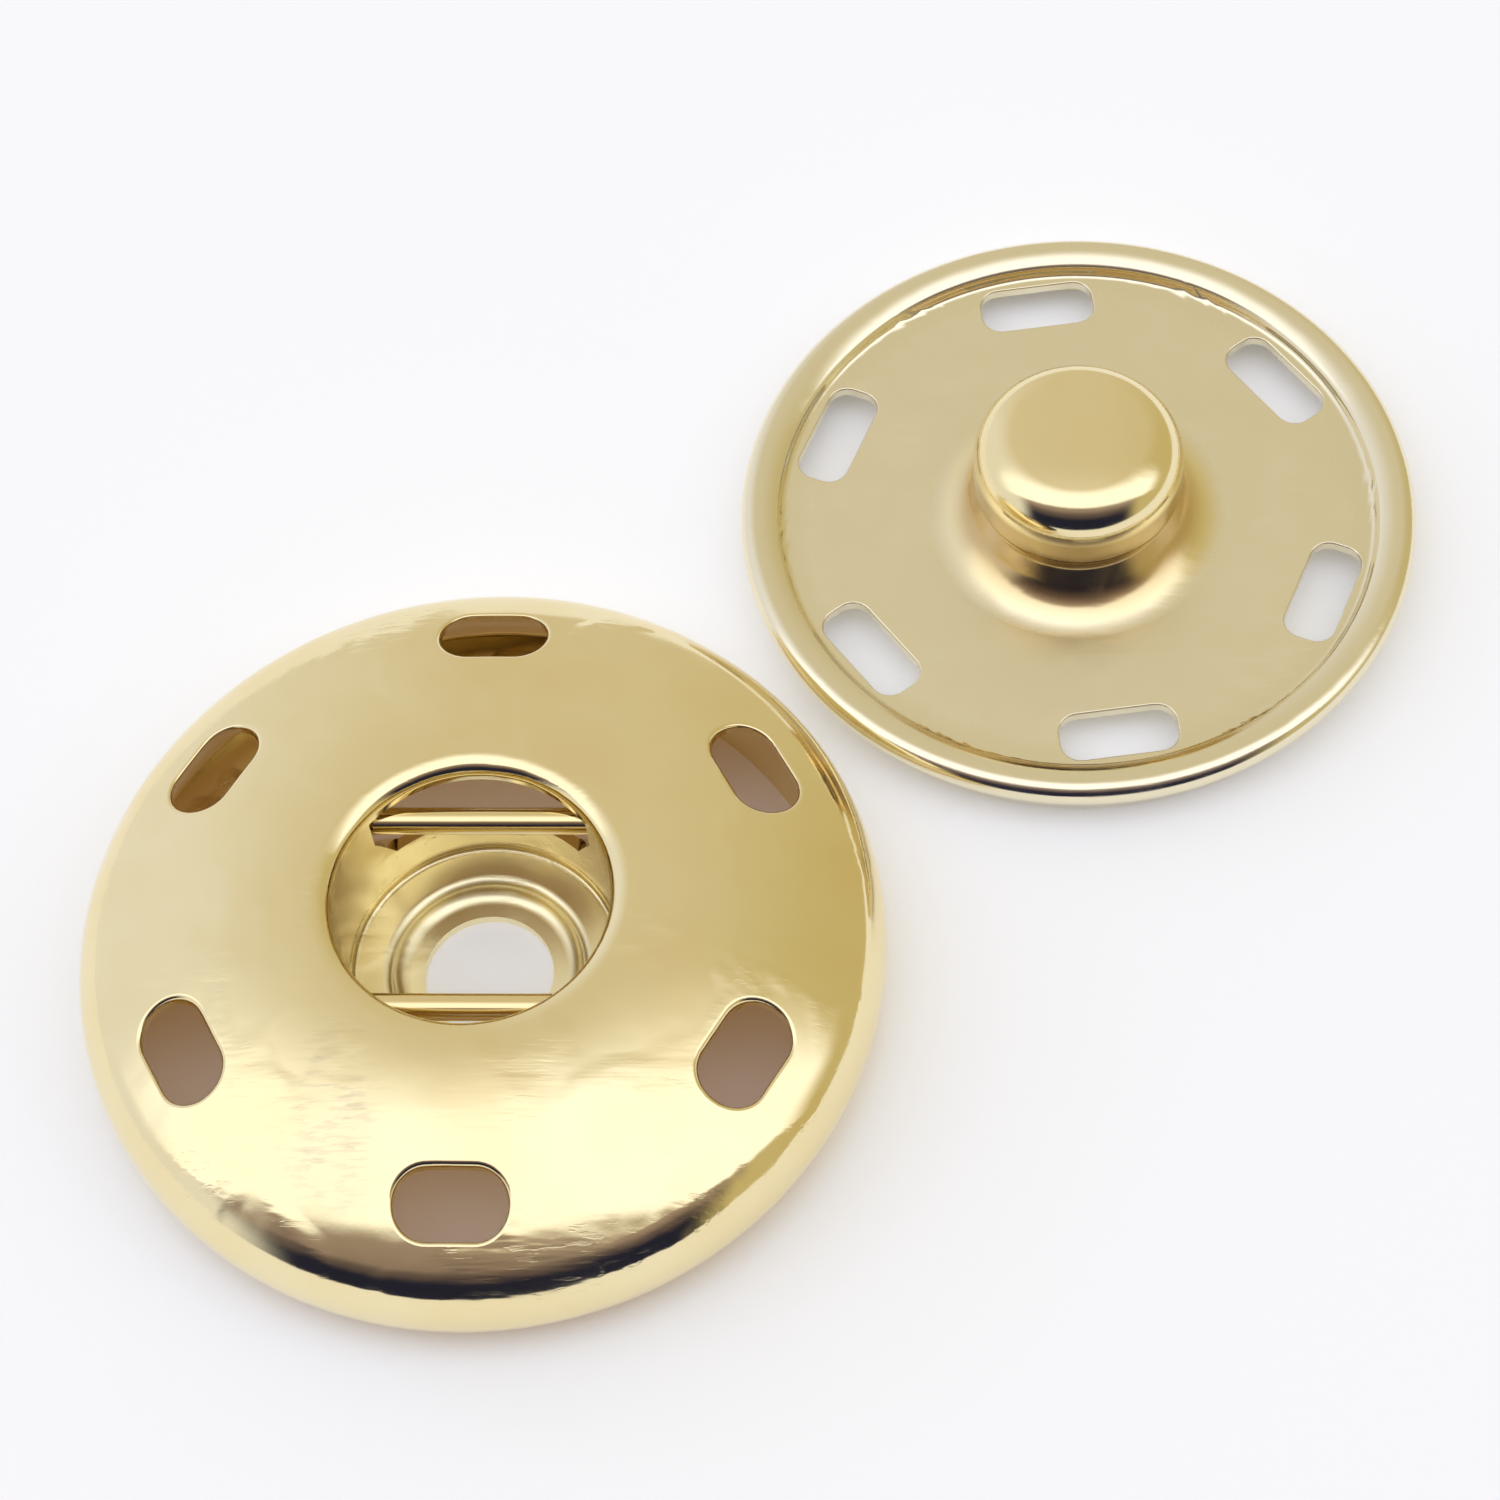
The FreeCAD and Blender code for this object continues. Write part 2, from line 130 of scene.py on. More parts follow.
# How finely the sheets are meshed. A margin is the half height of the patch round a hole, and of the flat
# loop that it is matched to, as a share of the hole's half width.
BEND_SAMPLE_ANGLE = 0.5
ROW_LENGTH = 0.3
ROW_ANGLE = 6.0
COLUMNS_PER_SLOT = 36
COLUMNS = COLUMNS_PER_SLOT * SLOT_COUNT
SLOT_SIDE_ROWS = 12
WINDOW_SIDE_ROWS = 16
SPREAD_RINGS = 9
SPREAD_POWER = 1.3
EDGE_RINGS = 5
OUTLINE_STEPS = 400
WINDOW_OUTLINE_STEPS = 300
SLOT_LOOP_MARGIN = 1.4
WINDOW_LOOP_MARGIN = 1.3
SLOT_OUTER_MARGIN = 1.42
SLOT_INNER_MARGIN = 1.5
PLATE_SLOT_INNER_MARGIN = 1.6
WELD_PARTS_PER_MM = 2e4

# How finely the wire is meshed
TAIL_POINTS = 8
HOOK_POINTS = 24
LEG_POINTS = 40
CURVE_POINTS = 36
WIRE_SIDES = 32
WIRE_END_RINGS = 5
WIRE_END_ROUNDING = WIRE_RADIUS * 0.25

# Light: the colours that the room has by direction, and what the floor gives off
ROOM_LEFT = (0.86, 0.87, 0.94)
ROOM_BACK = (0.70, 0.64, 0.50)
ROOM_RIGHT = (0.61, 0.53, 0.30)
SOFTBOX = (1.34, 1.36, 1.48)
GLOOM_HIGH = (0.34, 0.27, 0.26)
GLOOM_MIDDLE = (0.13, 0.10, 0.11)
GLOOM_LOW = (0.018, 0.02, 0.05)
FLOOR_REACH = 1500.0
FLOOR_COLOUR = (0.92, 0.94, 0.98, 1.0)
FLOOR_ROUGHNESS = 0.9
FLOOR_GLOW = 0.19
FLOOR_GLOW_TINT = (1.0, 0.985, 0.97)
SHADED_GLOW = 0.11
SHADED_GLOW_TINT = (1.0, 0.50, 0.17)
SHADE_RADII = (MOUTH_RADIUS - 1.0, SOCKET_RIM - 0.5)
SHADE_SOFTNESS = 1.0

# Where the light changes, in degrees. The first six run from overhead (0) towards the front, and the next
# three run from the middle to either side.
SOFTBOX_BACK = (-28.0, 2.0)
SOFTBOX_FRONT = (29.0, 35.0)
GLOOM_START = (30.0, 36.0)
GLOOM_DARKER = (37.0, 52.0)
GLOOM_DARKEST = (50.0, 66.0)
GLOOM_END = (120.0, 140.0)
SOFTBOX_SIDES = (52.0, 80.0)
GLOOM_SIDES = (40.0, 58.0)
ROOM_SIDES = 50.0

# How late the softbox reaches its full strength at the back: over 1 is later
SOFTBOX_ONSET_POWER = 1.6

# Camera, in the frame of the model
CAMERA_LENS = 90.25
CAMERA_SENSOR = 36.0
CAMERA_TARGET = (-0.66, 0.69, 0.0)
CAMERA_DISTANCE = 121.86
CAMERA_AZIMUTH = 6.98
CAMERA_ELEVATION = 59.43
CAMERA_ROLL = -6.07
CAMERA_NEAREST = 1.0
CAMERA_FARTHEST = 10000.0


def half_centres():
    """Where the two halves' axes stand: the frame's origin is the middle of the box round the pair."""
    apart = SOCKET_RIM + PAIR_GAP + PLATE_RIM
    across = apart * math.cos(math.radians(PAIR_DIRECTION))
    along = apart * math.sin(math.radians(PAIR_DIRECTION))
    back = (SOCKET_RIM - PLATE_RIM) / 2
    return (back - across / 2, back - along / 2), (back + across / 2, back + along / 2)


SOCKET_AT, STUD_AT = half_centres()


class Section:
    """Half a section of a drawn sheet: lines and tangent bends, walked by the length along them."""

    def __init__(self, stations, offset=0.0):
        self.points = []
        self.normals = []
        self.marks = [0.0]
        length = 0.0
        lengths = []
        for index, (r, z, angle, bend) in enumerate(stations):
            normal = np.array([math.cos(angle), math.sin(angle)])
            point = np.array([r, z]) - offset * normal
            if index == 0:
                if offset:
                    point = np.array([r - offset / normal[0], 0.0])
                self._add(lengths, point, normal, length)
            elif bend is None:
                length += np.linalg.norm(point - self.points[-1])
                self._add(lengths, point, normal, length)
                self.marks.append(length)
            else:
                before = stations[index - 1][2]
                turn = angle - before
                radius = bend - offset if turn > 0 else bend + offset
                side = 1 if turn > 0 else -1
                centre = point - side * radius * normal
                steps = max(2, int(abs(turn) / math.radians(BEND_SAMPLE_ANGLE)))
                for step in range(1, steps + 1):
                    way = before + turn * step / steps
                    normal = np.array([math.cos(way), math.sin(way)])
                    length += radius * abs(turn) / steps
                    self._add(lengths, centre + side * radius * normal, normal, length)
                self.marks.append(length)
        self.lengths = np.array(lengths)
        self.points = np.array(self.points)
        self.normals = np.array(self.normals)
        self.bends = [station[3] for station in stations]
        self.angles = [station[2] for station in stations]

    def _add(self, lengths, point, normal, length):
        self.points.append(point)
        self.normals.append(normal)
        lengths.append(length)

    def at(self, walk):
        """r, z and the two parts of the normal, at a length or lengths along the section."""
        r, z = (np.interp(walk, self.lengths, self.points[:, part]) for part in (0, 1))
        out, up = (np.interp(walk, self.lengths, self.normals[:, part]) for part in (0, 1))
        size = np.hypot(out, up)
        return r, z, out / size, up / size

    def where(self, part, value, low, high):
        """The length along the section where r (part 0) or z (part 1) has a value, between two lengths."""
        between = self.lengths[(self.lengths > low) & (self.lengths < high)]
        walks = np.concatenate([[low], between, [high]])
        known = self.at(walks)[part]
        order = np.argsort(known)
        return np.interp(value, known[order], walks[order])

    def rows(self, low, high):
        """Lengths from low to high, with every mark, closer together round the bends."""
        stops = [low] + [mark for mark in self.marks if low + TINY < mark < high - TINY] + [high]
        rows = [low]
        for start, end in zip(stops[:-1], stops[1:]):
            _, _, out, up = self.at(np.array([start, end]))
            middle = self.at(np.array([(start + end) / 2]))
            turn = 2 * math.degrees(math.acos(min(1.0, out[0] * middle[2][0] + up[0] * middle[3][0])))
            steps = max(1, math.ceil((end - start) / ROW_LENGTH), math.ceil(turn / ROW_ANGLE))
            rows += list(np.linspace(start, end, steps + 1)[1:])
        return np.array(rows)


class Skin:
    """Faces gathered with a normal at every corner, joined where their corners meet."""

    def __init__(self):
        self.keys = {}
        self.places = []
        self.faces = []
        self.normals = []

    def corner(self, place):
        key = tuple(round(part * WELD_PARTS_PER_MM) for part in place)
        if key not in self.keys:
            self.keys[key] = len(self.places)
            self.places.append(place)
        return self.keys[key]

    def grid(self, places, normals, flip=False):
        """Adds a grid of quads. places and normals are arrays of rows by columns by 3."""
        numbers = [[self.corner(place) for place in row] for row in places]
        for i in range(len(numbers) - 1):
            for j in range(len(numbers[0]) - 1):
                spots = [(i, j), (i, j + 1), (i + 1, j + 1), (i + 1, j)]
                if flip:
                    spots.reverse()
                face = []
                shade = []
                for a, b in spots:
                    if numbers[a][b] not in face:
                        face.append(numbers[a][b])
                        shade.append(normals[a][b])
                if len(face) > 2:
                    self.faces.append(face)
                    self.normals.extend(shade)

    def build(self, name, place, turn):
        """Makes the object, set down at its place in the pair."""
        angle = math.radians(turn)
        spin = np.array([[math.cos(angle), -math.sin(angle), 0],
                         [math.sin(angle), math.cos(angle), 0], [0, 0, 1]])
        places = np.array(self.places) @ spin.T + np.array([place[0], place[1], 0.0])
        normals = np.array(self.normals) @ spin.T
        mesh = bpy.data.meshes.new(name)
        mesh.from_pydata((places * MM).tolist(), [], self.faces)
        mesh.polygons.foreach_set("use_smooth", [True] * len(self.faces))
        mesh.update()
        mesh.normals_split_custom_set(normals.tolist())
        piece = bpy.data.objects.new(name, mesh)
        bpy.context.scene.collection.objects.link(piece)
        return piece


def turned_places(section, walks, angles, side):
    """Places and normals where a section, turned about the axis, has given lengths and angles."""
    r, z, out, up = section.at(walks)
    places = np.stack([r * np.cos(angles), r * np.sin(angles), z + 0 * angles], -1)
    normals = side * np.stack([out * np.cos(angles), out * np.sin(angles), up + 0 * angles], -1)
    return places, normals


def add_band(skin, section, low, high, side):
    """Adds a full turn of the section between two lengths. side is 1 for the face and -1 for the back."""
    walks = section.rows(low, high)
    angles = np.linspace(0, 2 * math.pi, COLUMNS + 1)
    grid_walks, grid_angles = np.meshgrid(walks, angles, indexing="ij")
    places, normals = turned_places(section, grid_walks, grid_angles, side)
    skin.grid(places, normals, flip=side < 0)


def box_loop(width, height, columns, rows):
    """A loop round a rectangle centred on 0, anticlockwise from its low right corner."""
    right = [(width, height * (2 * k / rows - 1)) for k in range(rows)]
    top = [(width * (1 - 2 * k / columns), height) for k in range(columns)]
    left = [(-width, height * (1 - 2 * k / rows)) for k in range(rows)]
    bottom = [(width * (2 * k / columns - 1), -height) for k in range(columns)]
    return np.array(right + top + left + bottom)


def match_outline(outline, normals, loop, half_length, half_width):
    """Points of an outline that lie in the same directions as the points of a loop round it."""
    known = np.arctan2(outline[:, 1] / half_width, outline[:, 0] / half_length)
    wanted = np.arctan2(loop[:, 1] / half_width, loop[:, 0] / half_length)
    order = np.argsort(known)
    known = known[order]
    spots = [np.interp(wanted, known, values[order], period=2 * math.pi)
             for values in (outline[:, 0], outline[:, 1], normals[:, 0], normals[:, 1])]
    ways = np.stack(spots[2:], -1)
    return np.stack(spots[:2], -1), ways / np.linalg.norm(ways, axis=1)[:, None]


def rounded_box(half_length, half_width, corner):
    """A dense outline with rounded corners, anticlockwise, and its outward normals."""
    points = []
    normals = []
    steps = OUTLINE_STEPS
    x_in = half_length - corner
    y_in = half_width - corner
    corners = [(x_in, y_in, 0), (-x_in, y_in, 90), (-x_in, -y_in, 180), (x_in, -y_in, 270)]
    for index, (x, y, start) in enumerate(corners):
        for way in np.radians(np.linspace(start, start + 90, steps)):
            points.append((x + corner * math.cos(way), y + corner * math.sin(way)))
            normals.append((math.cos(way), math.sin(way)))
        after = corners[(index + 1) % 4]
        way = math.radians(start + 90)
        side = np.array([math.cos(way), math.sin(way)])
        ends = np.array([points[-1], np.array(after[:2]) + corner * side])
        for share in np.linspace(0, 1, steps)[1:-1]:
            points.append(tuple(ends[0] + share * (ends[1] - ends[0])))
            normals.append(tuple(side))
    return np.array(points), np.array(normals)


def straight_outline(corners):
    """A dense outline with sharp corners, anticlockwise, and its outward normals."""
    points = []
    normals = []
    for start, end in zip(corners, corners[1:] + corners[:1]):
        start = np.array(start)
        run = np.array(end) - start
        side = np.array([run[1], -run[0]]) / np.linalg.norm(run)
        for share in np.linspace(0, 1, WINDOW_OUTLINE_STEPS, endpoint=False):
            points.append(start + share * run)
            normals.append(side)
    return np.array(points), np.array(normals)


def close_loop(values):
    """The same values with the first one again at the end."""
    return np.concatenate([values, values[:1]], 0)


def add_holed_patch(skin, section, side, loop, points, ways, edge, to_sheet, cut, outward, flip):
    """Adds the sheet between a hole's rounded edge and the loop round it.

    loop is the outer border as angles and lengths along the section. points and ways are the hole's
    outline and its outward directions, flat in the cut's plane. to_sheet turns such flat points into
    angles and lengths, cut is the way the punch went, and outward turns flat directions into space.
    """
    rings = []
    shades = []
    punch = cut * side
    for step in range(EDGE_RINGS + 1):
        turn = math.radians(90 * step / EDGE_RINGS) if edge else math.pi / 2
        angles, walks = to_sheet(points + ways * edge * (1 - math.cos(turn)), section)
        places, normals = turned_places(section, walks, angles, side)
        places = places + punch * edge * (1 - math.sin(turn))
        wall = -outward(ways, places)
        shade = math.sin(turn) * normals + math.cos(turn) * wall
        rings.append(places)
        shades.append(shade / np.linalg.norm(shade, axis=1)[:, None])
        if not edge:
            break
    for ring in range(1, SPREAD_RINGS + 1):
        share = (ring / SPREAD_RINGS) ** SPREAD_POWER
        mixed_angles = angles * (1 - share) + loop[:, 0] * share
        mixed_walks = walks * (1 - share) + loop[:, 1] * share
        places, normals = turned_places(section, mixed_walks, mixed_angles, side)
        rings.append(places)
        shades.append(normals)
    places = np.array([close_loop(ring) for ring in rings])
    normals = np.array([close_loop(shade) for shade in shades])
    skin.grid(places, normals, flip=flip)
    return rings[0]


def add_wall(skin, first, second, ways, outward, flip=False):
    """Adds the sheared wall of a hole, from its edge in the face to its edge in the back."""
    places = np.array([close_loop(first), close_loop(second)])
    wall = -outward(ways, first)
    skin.grid(places, np.array([close_loop(wall), close_loop(wall)]), flip=flip)


def add_slots(skin, face, back, face_span, back_span, circle, outline, half_length, half_width, edge):
    """Adds six sewing slots, each with the sixth of the sheet round it, on the face and the back."""
    points, normals = outline
    down = np.array([0.0, 0.0, -1.0])
    for number in range(SLOT_COUNT):
        middle = math.radians(90 + number * 360 / SLOT_COUNT)
        along = np.array([-math.sin(middle), math.cos(middle)])
        out = np.array([math.cos(middle), math.sin(middle)])
        half_turn = math.pi / SLOT_COUNT

        def to_sheet(flat, section):
            # Flat x runs against the angle, and flat y runs out from the axis.
            reach = circle + flat[:, 1]
            span = face_span if section is face else back_span
            walks = section.where(0, np.hypot(flat[:, 0], reach), *span)
            return middle - np.arctan2(flat[:, 0], reach), walks

        def outward(ways, places):
            plane = -ways[:, :1] * along + ways[:, 1:] * out
            return np.concatenate([plane, np.zeros((len(plane), 1))], 1)

        flat_loop = box_loop(circle * half_turn, half_width * SLOT_LOOP_MARGIN,
                             COLUMNS_PER_SLOT, SLOT_SIDE_ROWS)
        spots, ways = match_outline(points, normals, flat_loop, half_length, half_width)
        edges = []
        for section, span, side in ((face, face_span, 1), (back, back_span, -1)):
            unit = box_loop(1, 1, COLUMNS_PER_SLOT, SLOT_SIDE_ROWS)
            walks = sum(span) / 2 + (span[0] - span[1]) / 2 * unit[:, 1]
            loop = np.stack([middle - half_turn * unit[:, 0], walks], -1)
            rounding = edge if side > 0 else 0.0
            edges.append(add_holed_patch(skin, section, side, loop, spots, ways, rounding,
                                         to_sheet, down, outward, side > 0))
        add_wall(skin, edges[0], edges[1], ways, outward)


def add_windows(skin, face, back, face_span, back_span, corners):
    """Adds the two windows in the well's wall, each with the half of the wall round it.

    corners holds the window's corners on the face's wall and on the back's, as widths and heights.
    """
    height = (corners[0][0][1] + corners[0][3][1]) / 2
    half_width = corners[0][3][1] - height
    for sign in (1.0, -1.0):
        middle = sign * math.pi / 2
        outer = np.array([0.0, sign, 0.0])

        def to_sheet(flat, section):
            span = face_span if section is face else back_span
            walks = section.where(1, flat[:, 1] + height, *span)
            r = section.at(walks)[0]
            return middle - sign * np.arcsin(flat[:, 0] / r), walks

        def outward(ways, places):
            return np.stack([ways[:, 0], 0 * ways[:, 0], ways[:, 1]], -1)

        columns = COLUMNS // 2
        flat_loop = box_loop(MOUTH_RADIUS * WINDOW_LOOP_MARGIN, half_width * WINDOW_LOOP_MARGIN,
                             columns, WINDOW_SIDE_ROWS)
        edges = []
        for section, span, side, outline in ((back, back_span, -1, corners[1]),
                                             (face, face_span, 1, corners[0])):
            points, normals = straight_outline(outline)
            points = points - np.array([0.0, height])
            spots, ways = match_outline(points, normals, flat_loop, outline[2][0], half_width)
            unit = box_loop(1, 1, columns, WINDOW_SIDE_ROWS)
            walks = sum(span) / 2 + (span[0] - span[1]) / 2 * unit[:, 1]
            loop = np.stack([middle - sign * math.pi / 2 * unit[:, 0], walks], -1)
            edges.append(add_holed_patch(skin, section, side, loop, spots, ways, 0.0,
                                         to_sheet, outer, outward, side * sign > 0))

        def across(ways, places):
            # The jambs run aslant, so their normals come from the two edges.
            along = np.roll(edges[1], -1, axis=0) - np.roll(edges[1], 1, axis=0)
            out = np.cross(along, edges[0] - edges[1])
            out /= np.linalg.norm(out, axis=1)[:, None]
            return out * np.sign(np.sum(out * outward(ways, places)))

        add_wall(skin, edges[1], edges[0], ways, across, flip=sign < 0)


def socket_stations():
    """Stations of the socket half's face: r, height, the way it looks, and the bend before it."""
    taper = math.radians(-RIM_TAPER)
    shoulder_r = SOCKET_RIM - SOCKET_SHOULDER
    skirt = (shoulder_r + SOCKET_SHOULDER * math.cos(taper),
             SOCKET_SHOULDER_CENTRE + SOCKET_SHOULDER * math.sin(taper))
    foot_r = skirt[0] + skirt[1] * math.tan(taper)
    lean = math.radians(LIP_LEAN)
    roll_r = MOUTH_RADIUS + LIP_BEND * (1 - math.sin(lean))
    roll_z = LIP_HEIGHT - LIP_ROLL * (1 - math.cos(lean))
    lip_r = roll_r + LIP_ROLL * math.sin(lean)
    run = shoulder_r - lip_r
    rise = LIP_HEIGHT - SOCKET_SHOULDER_CENTRE
    dome = (run ** 2 + rise ** 2 - SOCKET_SHOULDER ** 2) / (2 * (rise - SOCKET_SHOULDER))
    join = math.atan2(SOCKET_SHOULDER_CENTRE - (LIP_HEIGHT - dome), run)
    slope = math.radians(STEP_SLOPE)
    ridge = (LEDGE_RADIUS - STEP_RIDGE * math.sin(slope), LEDGE_HEIGHT - STEP_RIDGE * (1 - math.cos(slope)))
    slope_z = SOCKET_SHEET + STEP_FOOT * (1 - math.cos(slope))
    slope_r = ridge[0] - (ridge[1] - slope_z) / math.tan(slope)
    up = math.pi / 2
    return [
        (foot_r, 0.0, taper, None),
        (*skirt, taper, None),
        (lip_r + dome * math.cos(join), LIP_HEIGHT - dome + dome * math.sin(join), join, SOCKET_SHOULDER),
        (lip_r, LIP_HEIGHT, up, dome),
        (roll_r, roll_z, up + lean, LIP_ROLL),
        (MOUTH_RADIUS, roll_z - LIP_BEND * math.cos(lean), math.pi, LIP_BEND),
        (MOUTH_RADIUS, LEDGE_HEIGHT + WELL_CORNER, math.pi, None),
        (MOUTH_RADIUS - WELL_CORNER, LEDGE_HEIGHT, up, WELL_CORNER),
        (LEDGE_RADIUS, LEDGE_HEIGHT, up, None),
        (*ridge, up + slope, STEP_RIDGE),
        (slope_r, slope_z, up + slope, None),
        (slope_r - STEP_FOOT * math.sin(slope), SOCKET_SHEET, up, STEP_FOOT),
        (FLOOR_HOLE, SOCKET_SHEET, up, None),
    ]


def plate_stations():
    """Stations of the stud half's face: r, height, the way it looks, and the bend before it."""
    taper = math.radians(-PLATE_TAPER)
    bead_r = PLATE_RIM - BEAD
    skirt = (bead_r + BEAD * math.cos(taper), BEAD_CENTRE + BEAD * math.sin(taper))
    foot_r = skirt[0] + skirt[1] * math.tan(taper)
    slope = math.radians(BEAD_SLOPE)
    fall = math.radians(BEAD_FALL)
    crest_z = BEAD_CENTRE + BEAD
    gentle = (bead_r - BEAD_INNER * math.sin(fall), crest_z - BEAD_INNER * (1 - math.cos(fall)))
    inner = (gentle[0] - BEAD_STEP * (math.sin(slope) - math.sin(fall)),
             gentle[1] - BEAD_STEP * (math.cos(fall) - math.cos(slope)))
    crease_z = PLATE_HEIGHT + BEAD_FOOT * (1 - math.cos(slope))
    crease_r = inner[0] - (inner[1] - crease_z) / math.tan(slope)
    below = math.radians(-UNDERCUT)
    neck_r = NECK_RADIUS + NECK_BEND
    edge_r = HEAD_RADIUS - HEAD_EDGE
    drop = (HEAD_EDGE + NECK_BEND - (neck_r - edge_r) * math.cos(below)) / -math.sin(below)
    neck_z = HEAD_EDGE_HEIGHT - drop
    base_z = PLATE_HEIGHT + BASE_BEND
    apart = (BASE_RADIUS - neck_r, neck_z - base_z)
    cone = math.atan2(apart[0], apart[1]) - math.asin((BASE_BEND - NECK_BEND) / math.hypot(*apart))
    reach = HEAD_CROWN - HEAD_SHOULDER
    shoulder_r = HEAD_RADIUS - HEAD_SHOULDER
    join = math.acos(shoulder_r / reach)
    crown_z = HEAD_HEIGHT - HEAD_CROWN
    up = math.pi / 2
    return [
        (foot_r, 0.0, taper, None),
        (*skirt, taper, None),
        (bead_r, crest_z, up, BEAD),
        (*gentle, up + fall, BEAD_INNER),
        (*inner, up + slope, BEAD_STEP),
        (crease_r, crease_z, up + slope, None),
        (crease_r - BEAD_FOOT * math.sin(slope), PLATE_HEIGHT, up, BEAD_FOOT),
        (BASE_RADIUS, PLATE_HEIGHT, up, None),
        (BASE_RADIUS - BASE_BEND * math.cos(cone), base_z - BASE_BEND * math.sin(cone), cone, BASE_BEND),
        (neck_r - NECK_BEND * math.cos(cone), neck_z - NECK_BEND * math.sin(cone), cone, None),
        (neck_r - NECK_BEND * math.cos(below), neck_z - NECK_BEND * math.sin(below), below, NECK_BEND),
        (edge_r + HEAD_EDGE * math.cos(below), HEAD_EDGE_HEIGHT + HEAD_EDGE * math.sin(below), below, None),
        (HEAD_RADIUS, HEAD_EDGE_HEIGHT, 0.0, HEAD_EDGE),
        (HEAD_RADIUS, crown_z + reach * math.sin(join), 0.0, None),
        (HEAD_CROWN * math.cos(join), crown_z + HEAD_CROWN * math.sin(join), join, HEAD_SHOULDER),
        (0.0, HEAD_HEIGHT, up, HEAD_CROWN),
    ]


def join_rings(skin, face, back, walks):
    """Closes the sheet's edge between a length on the face and one on the back."""
    angles = np.linspace(0, 2 * math.pi, COLUMNS + 1)
    first, _ = turned_places(face, np.full(COLUMNS + 1, walks[0]), angles, 1)
    second, _ = turned_places(back, np.full(COLUMNS + 1, walks[1]), angles, 1)
    inward = walks[0] > 0
    level = np.stack([np.cos(angles), np.sin(angles), 0 * angles], -1)
    normal = -level if inward else np.tile([0.0, 0.0, -1.0], (COLUMNS + 1, 1))
    skin.grid(np.array([first, second]), np.array([normal, normal]), flip=not inward)


def make_socket_shell():
    """The socket half's sheet: bands of it, six slots, two windows and the two cut edges."""
    face = Section(socket_stations())
    back = Section(socket_stations(), SOCKET_SHEET)
    skin = Skin()
    half_width = SOCKET_SLOT_WIDTH / 2
    slot_out = SOCKET_SLOT_CIRCLE + half_width * SLOT_OUTER_MARGIN
    slot_in = SOCKET_SLOT_CIRCLE - half_width * SLOT_INNER_MARGIN
    spans = []
    for section, side in ((face, 1), (back, -1)):
        marks = section.marks
        dome = (float(section.lengths[np.argmax(section.points[:, 0])]), marks[DOME_END])
        out_walk = float(section.where(0, slot_out, *dome))
        in_walk = float(section.where(0, slot_in, *dome))
        wall_top = (marks[LIP_ROLL_END] + marks[LIP_END]) / 2
        wall_foot = (marks[WALL_END] * 2 + marks[WELL_CORNER_END]) / 3
        add_band(skin, section, 0.0, out_walk, side)
        add_band(skin, section, in_walk, wall_top, side)
        add_band(skin, section, wall_foot, marks[-1], side)
        spans.append(((out_walk, in_walk), (wall_top, wall_foot)))
    outline = rounded_box(SOCKET_SLOT_LENGTH / 2, half_width, half_width)
    add_slots(skin, face, back, spans[0][0], spans[1][0], SOCKET_SLOT_CIRCLE, outline,
              SOCKET_SLOT_LENGTH / 2, half_width, SLOT_EDGE)
    bearing = WIRE_HEIGHT - WIRE_RADIUS - WINDOW_CLEARANCE
    sill = WINDOW_SILL_WIDTH / 2
    head = LIP_HEIGHT - WINDOW_HEAD_DROP
    corners = []
    for wall in (MOUTH_RADIUS, MOUTH_RADIUS + SOCKET_SHEET):
        jamb = math.sqrt(wall ** 2 - (LEG_OFFSET - WIRE_RADIUS) ** 2) + WINDOW_CLEARANCE
        corners.append([(-sill, WINDOW_SILL), (sill, WINDOW_SILL), (jamb, bearing), (jamb, head),
                        (-jamb, head), (-jamb, bearing)])
    add_windows(skin, face, back, spans[0][1], spans[1][1], corners)
    join_rings(skin, face, back, (0.0, 0.0))
    join_rings(skin, face, back, (face.marks[-1], back.marks[-1]))
    return skin.build("socket_shell_finish", SOCKET_AT, 0.0)


def make_stud_plate():
    """The stud half's sheet: bands of it, six slots and the cut edge."""
    face = Section(plate_stations())
    back = Section(plate_stations(), PLATE_SHEET)
    skin = Skin()
    half_width = PLATE_SLOT_WIDTH / 2
    slot_in = PLATE_SLOT_CIRCLE - half_width * PLATE_SLOT_INNER_MARGIN
    spans = []
    for section, side in ((face, 1), (back, -1)):
        marks = section.marks
        out_walk = marks[BEAD_INNER_END]
        in_walk = float(section.where(0, slot_in, marks[BEAD_SLOPE_END], marks[FLAT_END]))
        add_band(skin, section, 0.0, out_walk, side)
        add_band(skin, section, in_walk, marks[-1], side)
        spans.append((out_walk, in_walk))
    outline = rounded_box(PLATE_SLOT_LENGTH / 2, half_width, PLATE_SLOT_CORNER)
    add_slots(skin, face, back, spans[0], spans[1], PLATE_SLOT_CIRCLE, outline,
              PLATE_SLOT_LENGTH / 2, half_width, PLATE_SLOT_EDGE)
    join_rings(skin, face, back, (0.0, 0.0))
    return skin.build("stud_plate_finish", STUD_AT, STUD_HALF_TURN)


